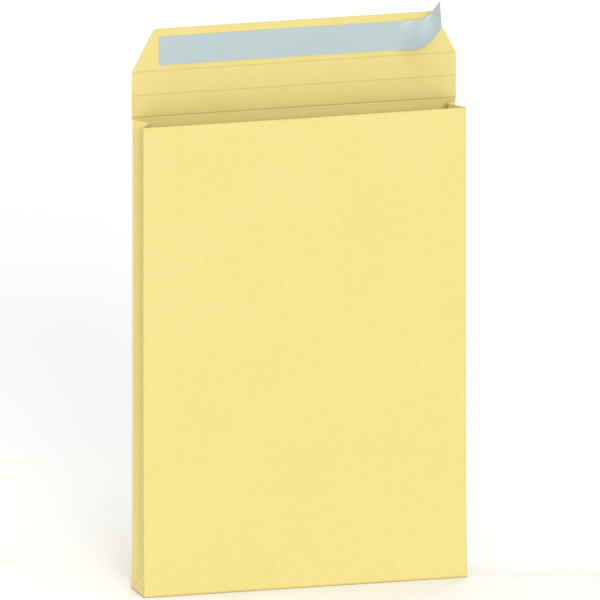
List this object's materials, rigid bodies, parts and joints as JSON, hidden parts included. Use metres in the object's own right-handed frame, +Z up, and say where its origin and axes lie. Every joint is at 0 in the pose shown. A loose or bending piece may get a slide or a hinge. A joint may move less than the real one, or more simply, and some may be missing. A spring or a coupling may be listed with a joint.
{
  "type": "gusseted envelope",
  "caption": "Large gusseted paper envelope standing open on its block bottom, peel-and-seal flap raised and release liner partly peeled.",
  "frame": {"origin": "on the ground under the middle of the block bottom", "axes": "+Z up, from the bottom to the mouth and flap; +Y from the front panel to the back panel that carries the flap; +X to the right seen from the front"},
  "size_m": [0.28, 0.0398, 0.4883],
  "materials": {
    "manila_paper": "uncoated manila yellow paper, smooth and matt, with a faint fibre mottle",
    "clear_adhesive": "clear tacky adhesive film, glossy",
    "release_paper": "blue-grey silicone-coated release paper, satin"
  },
  "bodies": {
    "root": {"envelope_sheet": "manila_paper", "adhesive_band": "clear_adhesive", "release_liner": "release_paper"}
  },
  "joints": []
}
